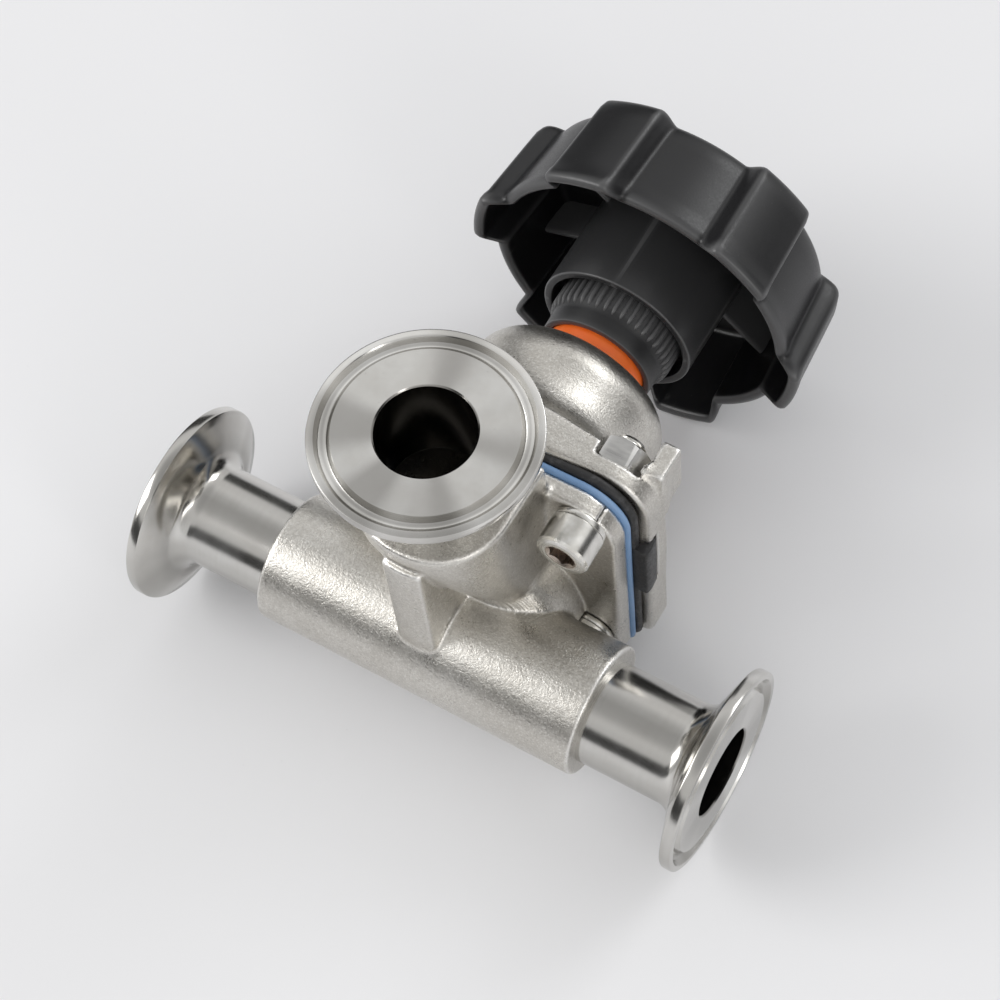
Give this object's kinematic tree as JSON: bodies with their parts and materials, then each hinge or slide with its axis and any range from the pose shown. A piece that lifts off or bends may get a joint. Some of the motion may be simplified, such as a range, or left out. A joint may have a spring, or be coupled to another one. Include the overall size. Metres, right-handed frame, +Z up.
{
  "type": "diaphragm valve",
  "caption": "Three-way sanitary weir diaphragm valve: straight run pipe with a branch at right angles, clamp ferrule ends, bolted bonnet, position ring and lobed handwheel.",
  "frame": {"origin": "middle of the underside of the valve's bounding box, as it lies with its stem level", "axes": "+X along the run pipe, +Y along the stem towards the handwheel, +Z up along the branch pipe"},
  "size_m": [0.1482, 0.146, 0.1117],
  "materials": {
    "blasted_steel": "bead-blasted stainless steel",
    "polished_steel": "turned and mirror-polished stainless steel",
    "screw_steel": "machined stainless steel",
    "brass": "turned",
    "blue_ptfe": "smooth moulded",
    "black_epdm": "moulded rubber",
    "orange_plastic": "smooth moulded",
    "charcoal_plastic": "satin moulded"
  },
  "bodies": {
    "valve": {"valve_body": "blasted_steel", "run_ferrule_right": "polished_steel", "run_ferrule_left": "polished_steel", "branch_ferrule": "polished_steel", "bonnet": "blasted_steel", "cap_screw_1": "screw_steel", "cap_screw_2": "screw_steel", "cap_screw_3": "screw_steel", "cap_screw_4": "screw_steel", "lock_washer_1": "screw_steel", "lock_washer_2": "screw_steel", "lock_washer_3": "screw_steel", "lock_washer_4": "screw_steel", "hex_nut_1": "screw_steel", "hex_nut_2": "screw_steel", "hex_nut_3": "screw_steel", "hex_nut_4": "screw_steel", "diaphragm_face": "blue_ptfe", "diaphragm_backing": "black_epdm", "spindle_bush": "brass", "spindle_seal": "black_epdm", "indicator_ring": "orange_plastic"},
    "compressor_carriage": {"compressor": "blasted_steel", "compressor_pin_right": "screw_steel", "compressor_pin_left": "screw_steel", "diaphragm_stud": "screw_steel"},
    "handwheel_group": {"spindle": "screw_steel", "indicator_collar": "charcoal_plastic", "handwheel": "charcoal_plastic", "hub_insert": "brass", "hub_washer": "screw_steel", "hub_screw": "screw_steel", "wheel_cap": "charcoal_plastic"}
  },
  "joints": [
    {"name": "spindle_lift", "type": "slide", "parent": "valve", "child": "compressor_carriage", "axis": [0, -1, 0], "range_m": [0, 0.0075], "deforming": ["diaphragm_face", "diaphragm_backing"]},
    {"name": "handwheel_turn", "type": "hinge", "parent": "compressor_carriage", "child": "handwheel_group", "pos_m": [0, 0.01222, 0.04464], "axis": [0, -1, 0], "range_deg": [0, 900]}
  ],
  "couplings": [
    {"joint": "spindle_lift", "follows": "handwheel_turn", "m_per_rad": 0.000477}
  ]
}
